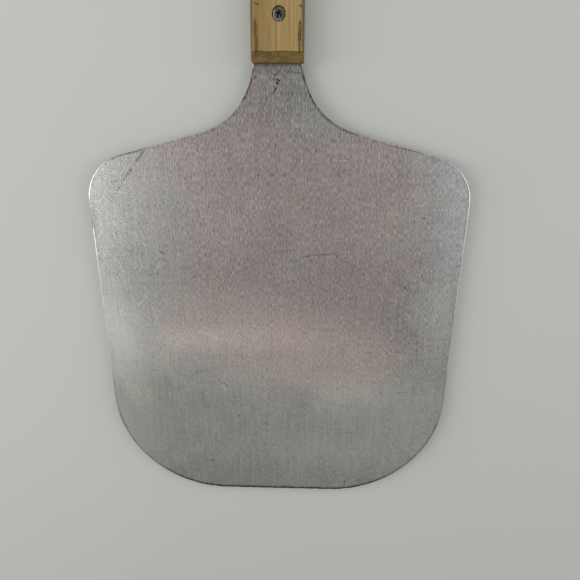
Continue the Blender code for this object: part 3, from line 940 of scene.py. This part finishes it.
def wood():
    g = Graph("worn_wood")
    x, y, z = g.split()
    bevel = g.attribute("bevel")                        # mm behind the bevel's upper edge
    inside = g.attribute("inside")                      # mm in from the outline

    # Growth rings round a pith that lies left of the bar and below it, drawn out along the grain.
    wander = g.noise(g.stretched(g.place, (1, 0.12, 1)), 14, 2)
    offset = g.swing(wander, 9 * MM)
    from_pith = g.vector("LENGTH", g.join(g.total(x, -PITH_X, offset), 0.0, g.math("ADD", z, -PITH_Z)))
    rings = g.noise(from_pith, 620, 2.5, 0.65, space="1D")
    broad = g.noise(from_pith, 140, 1.5, space="1D")
    fibre = g.noise(g.stretched(g.place, (1, 0.025, 1)), 1700, 3, 0.6)
    pores = g.band(g.noise(g.stretched(g.place, (1, 0.05, 1)), 2600, 2, 0.5), 0.66, 0.74)
    cloud = g.noise(g.stretched(g.place, (1, 0.3, 1)), 40, 3)

    pale = g.mix(g.band(rings, 0.38, 0.62), PALE_WOOD, PALE_LATE_WOOD)
    pale = g.mix(g.band(broad, 0.35, 0.7), pale, BROAD_WOOD)
    pale = g.mix(g.band(cloud, 0.4, 0.7, 0.0, 0.4), pale, CLOUDY_WOOD)
    pale = g.mix(g.band(x, -0.003, -0.013, 0.0, 0.4), pale, ORANGE_WOOD)
    pale = g.vector("SCALE", pale, scale=g.band(x, -0.011, 0.004, 1.0, 1.24))
    brown = g.mix(g.band(rings, 0.35, 0.65), BROWN_WOOD, BROWN_LATE_WOOD)
    brown = g.mix(g.band(cloud, 0.4, 0.65, 0.0, 0.5), brown, BROWN_CLOUDY_WOOD)
    across = g.noise(g.stretched(g.wobbled(g.place, 60, 3 * MM, 1), (0.16, 1, 1)), 700, 3, 0.6)
    sawn = g.mix(g.band(across, 0.36, 0.64), SAWN_WOOD, SAWN_LIGHT_WOOD)

    # The flat faces are worn pale. The long edges, sides, ends and the bevel keep the old brown finish.
    ragged = g.swing(g.noise(g.stretched(g.place, (1, 0.25, 1)), 300, 3), 1.6)
    face = g.band(g.math("ADD", inside, ragged), 1.7, 2.4)
    colour = g.mix(face, brown, pale)
    cut = g.mul(g.band(g.math("MULTIPLY_ADD", ragged, 0.3, bevel), 0.15, -0.15), g.band(inside, 0.1, 0.5))
    colour = g.mix(cut, colour, sawn)

    # A dark line along the bevel's upper edge, darker wood at the very end, burnt streaks, and grime with
    # painted shade round the screws.
    arris = g.mul(g.band(bevel, -0.7, -0.25), g.band(bevel, 0.3, 0.0))
    # darker wood at the very end, where the handle meets the blade
    end = g.band(g.math("SUBTRACT", y, HANDLE_Y0), 0.9 * MM, 0.0)
    upper = g.band(z, MID_Z, MID_Z + 1 * MM)
    rubbed = g.wobbled(g.join(x, y, 0.0), 260, 0.25 * MM, 3)
    burnt = g.strokes(g.on_plan(rubbed), BURNS)
    ticks = g.noise(g.stretched(g.place, (0.4, 1, 1)), 900, 3, 0.65)
    charred = g.mul(g.band(burnt, 0.0, 0.6), g.band(ticks, 0.42, 0.62))
    burnt = g.mul(g.math("ADD", g.mul(g.band(burnt, 0.0, 1.0), 0.6), g.mul(charred, 0.4)), upper)
    # grime round the screws, with painted shade on the crushed wall of each countersink
    dirt_and_shade = 0.0
    for node in SCREWS:
        px, py = screw_place(node)
        away = g.vector("LENGTH", g.vector("SUBTRACT", g.join(x, y, 0.0), (px, py, 0)))
        away = g.math("ADD", away, g.swing(cloud, 1.5 * MM))
        dirt_and_shade = g.math("MAXIMUM", dirt_and_shade, g.band(away, 5.0 * MM, 4.5 * MM))
    dirt_and_shade = g.mul(dirt_and_shade, upper)
    dark = g.total(
        g.mul(arris, 0.55), g.mul(end, 0.4), g.mul(burnt, 0.9), g.mul(dirt_and_shade, 0.65), g.mul(pores, 0.3)
    )
    colour = g.mix(g.math("MINIMUM", dark, 0.92), colour, CHAR_AND_SHADE)
    gain = g.math("ADD", 1.0, g.swing(fibre, 0.7))
    height = g.total(g.mul(fibre, 0.7), g.mul(rings, 0.3), g.mul(pores, -0.5))
    g.set(
        Base_Color=g.vector("SCALE", colour, scale=gain),
        Roughness=g.total(0.5, g.swing(fibre, 0.2), g.mul(dark, 0.25)),
        Specular_IOR_Level=0.3,
        Normal=g.bump(height, 0.4, 0.12 * MM),
    )
    return g.material


# ---------------------------------------------------------------- screws

SCREW_SIDES = 48
THREAD_LENGTH = 9.5 * MM
THREAD_PITCH = 1.7 * MM
THREAD_STEPS = 84
RIDGE_SHARE = 0.31                  # half a ridge's width, as a share of the pitch
TIP_LENGTH = 3.4 * MM
TIP_SHARE = 0.08                    # width left at the very tip
RECESS_SPAN = 4.8 * MM
RECESS_ARM = 1.0 * MM
RECESS_DEPTH = 2.1 * MM
RECESS_TURNS = {"screw_front": radians(63), "screw_rear": radians(17)}

STEEL = (0.050, 0.048, 0.048)
LIGHT_STEEL = (0.210, 0.215, 0.185)
RIM_STEEL = (0.22, 0.225, 0.21)
RECESS_STEEL = (0.035, 0.04, 0.035)
GLINT_STEEL = (0.80, 0.80, 0.76)


def thread_radius(height, angle, tip, thread_top):
    """Radius of the threaded part, whose ridge climbs round it and whose end tapers to a point."""
    phase = (height / THREAD_PITCH - angle / (2 * pi)) % 1
    ridge = max(0.0, 1 - abs(phase - 0.5) / RIDGE_SHARE)
    fade = min(1.0, max(0.0, (thread_top - height) / THREAD_PITCH))
    taper = TIP_SHARE + (1 - TIP_SHARE) * min(1.0, (height - tip) / TIP_LENGTH)
    return (SCREW_CORE + (SCREW_SHANK - SCREW_CORE) * ridge * fade) * taper


def screw_rings(low, high):
    """Rings of points from the head's face down over its worn rim, its cone and the shank to the tip."""
    top = high.z
    tip = low.z
    head = (high.x - low.x) / 2
    angles = [2 * pi * i / SCREW_SIDES for i in range(SCREW_SIDES)]
    cone_end = top - HEAD_LIP - (head - SCREW_SHANK) / tan(HEAD_HALF_ANGLE)
    thread_top = tip + TIP_LENGTH + THREAD_LENGTH
    profile = [
        (head - 1.4 * MM, top), (head - 0.5 * MM, top - 0.02 * MM), (head - 0.22 * MM, top - 0.05 * MM),
        (head - 0.08 * MM, top - 0.1 * MM), (head, top - 0.18 * MM), (head, top - HEAD_LIP),
        (SCREW_SHANK, cone_end), (SCREW_SHANK, thread_top + 0.5 * MM),
    ]
    rings = [[(r * cos(a), r * sin(a), h) for a in angles] for r, h in profile]
    for step in range(THREAD_STEPS + 1):
        h = thread_top + (tip - thread_top) * step / THREAD_STEPS
        radii = [thread_radius(h, a, tip, thread_top) for a in angles]
        rings.append([(r * cos(a), r * sin(a), h) for r, a in zip(radii, angles)])
    return rings


def recess_cutter(top):
    """A cross that narrows towards the bottom of the recess."""
    arm = RECESS_ARM / 2
    corners = ((RECESS_SPAN / 2, -arm), (RECESS_SPAN / 2, arm), (arm * 1.5, arm * 1.5))
    cross = [Matrix.Rotation(i * pi / 2, 2) @ Vector(c) for i in range(4) for c in corners]
    levels = [(top - RECESS_DEPTH, 0.3), (top - 0.1 * MM, 0.97), (top + PAST, 1.2)]
    return new_object("recess", skin([[(p.x * s, p.y * s, h) for p in cross] for h, s in levels]))


def make_screw(node):
    screw = new_object(node + "_body", skin(screw_rings(*SCREWS[node])))
    cutter = recess_cutter(SCREWS[node][1].z)
    cutter.rotation_euler = (0, 0, RECESS_TURNS[node])
    cut_away(screw, [cutter])
    screw.data.transform(Matrix.Translation((*screw_place(node), 0)))
    screw.data.set_sharp_from_angle(angle=radians(35))
    even_normals(screw)
    return screw


def steel():
    g = Graph("dull_steel")
    x, y, z = g.split()
    low, high = SCREWS["screw_front"]
    head = (high.x - low.x) / 2
    front_x, front_y = screw_place("screw_front")
    rear_x, rear_y = screw_place("screw_rear")
    spots = g.noise(g.place, 900, 4, 0.65)
    fine = g.noise(g.place, 3500, 2, 0.6)
    flat = g.join(x, y, 0.0)
    away = g.math(                                      # distance from the nearer screw's axis
        "MINIMUM",
        g.vector("LENGTH", g.vector("SUBTRACT", flat, (front_x, front_y, 0))),
        g.vector("LENGTH", g.vector("SUBTRACT", flat, (rear_x, rear_y, 0))),
    )
    rim = g.band(away, head - 1.5 * MM, head - 0.35 * MM)
    sunk = g.band(z, high.z - 0.12 * MM, high.z - 0.5 * MM)
    colour = g.mix(g.band(spots, 0.35, 0.65), STEEL, LIGHT_STEEL)
    colour = g.mix(g.mul(rim, 0.35), colour, RIM_STEEL)
    colour = g.mix(g.mul(sunk, 0.8), colour, RECESS_STEEL)

    # Painted glints: bright spots on the rim's lower left and in the middle.
    at_rear = g.math("GREATER_THAN", y, (front_y + rear_y) / 2)
    step = g.mul(at_rear, front_x + front_y - rear_x - rear_y)
    slope = g.total(x, y, -front_x - front_y, step)
    # worn holds the painted glints
    worn = g.mul(rim, g.band(slope, 1 * MM, -3 * MM), g.math("SUBTRACT", 1.0, sunk))
    worn = g.math("MAXIMUM", worn, g.band(away, 0.9 * MM, 0.3 * MM))
    worn = g.mul(worn, g.band(g.noise(g.place, 1500, 2), 0.42, 0.54))
    colour = g.mix(worn, colour, GLINT_STEEL)
    gain = g.math("ADD", 1.0, g.swing(fine, 0.5))
    g.set(
        Base_Color=g.vector("SCALE", colour, scale=gain),
        Metallic=1.0,
        Roughness=g.total(g.band(spots, 0.3, 0.7, 0.5, 0.32), g.mul(sunk, 0.15), g.mul(worn, -0.12)),
        Normal=g.bump(g.total(spots, fine), 0.35, 0.06 * MM),
    )
    return g.material


# ---------------------------------------------------------------- stage, light and camera

FLOOR_DARK = (0.64, 0.655, 0.617)
FLOOR_LIGHT = (0.68, 0.694, 0.652)


def make_floor():
    solid = bmesh.new()
    bmesh.ops.create_grid(solid, x_segments=1, y_segments=1, size=4)
    floor = new_object("floor", solid)
    g = Graph("floor_paint")
    soft = g.noise(g.place, 3, 3)
    g.set(Base_Color=g.mix(soft, FLOOR_DARK, FLOOR_LIGHT), Roughness=0.9)
    floor.data.materials.append(g.material)


def softbox(name, place, aim, size, watts):
    data = bpy.data.lights.new(name, "AREA")
    data.shape = "RECTANGLE"
    data.size, data.size_y = size
    data.energy = watts
    light = bpy.data.objects.new(name, data)
    light.location = place
    light.rotation_mode = "QUATERNION"
    light.rotation_quaternion = (Vector(aim) - Vector(place)).to_track_quat("-Z", "Y")
    light.visible_camera = False
    bpy.context.scene.collection.objects.link(light)


def make_lights():
    world = bpy.data.worlds.new("room")
    world.use_nodes = True
    background = world.node_tree.nodes["Background"]
    background.inputs["Color"].default_value = (0.96, 1.0, 0.96, 1)
    background.inputs["Strength"].default_value = 0.32
    bpy.context.scene.world = world
    softbox("key", (0.0, 1.3, 1.3), (0, 0, 0), (1.6, 0.8), 8)
    softbox("left_window", (-1.3, 0.0, 0.7), (0, -0.1, 0), (0.5, 1.4), 9.5)
    softbox("right_wall", (1.3, 0.1, 0.8), (0, -0.1, 0), (0.5, 1.2), 5)


def make_camera():
    """A wide camera above the blade. The handle leaves the top of its view."""
    data = bpy.data.cameras.new("camera")
    data.sensor_width = 36
    data.lens = 26.69
    data.clip_start = 0.01
    camera = bpy.data.objects.new("camera", data)
    camera.location = (17.8 * MM, FRONT_Y + 320.4 * MM, BLADE_HIGH.z + 347.7 * MM)
    camera.rotation_mode = "ZYX"
    camera.rotation_euler = (radians(-17.85), radians(1.17), radians(0.90))
    bpy.context.scene.collection.objects.link(camera)
    bpy.context.scene.camera = camera


def main():
    bpy.context.scene.view_settings.view_transform = "Standard"
    make_camera()
    make_lights()
    make_floor()
    finish_piece(make_blade(), "blade", aluminium())
    finish_piece(make_handle(), "handle", wood())
    metal = steel()
    for node in SCREWS:
        finish_piece(make_screw(node), node, metal)


main()
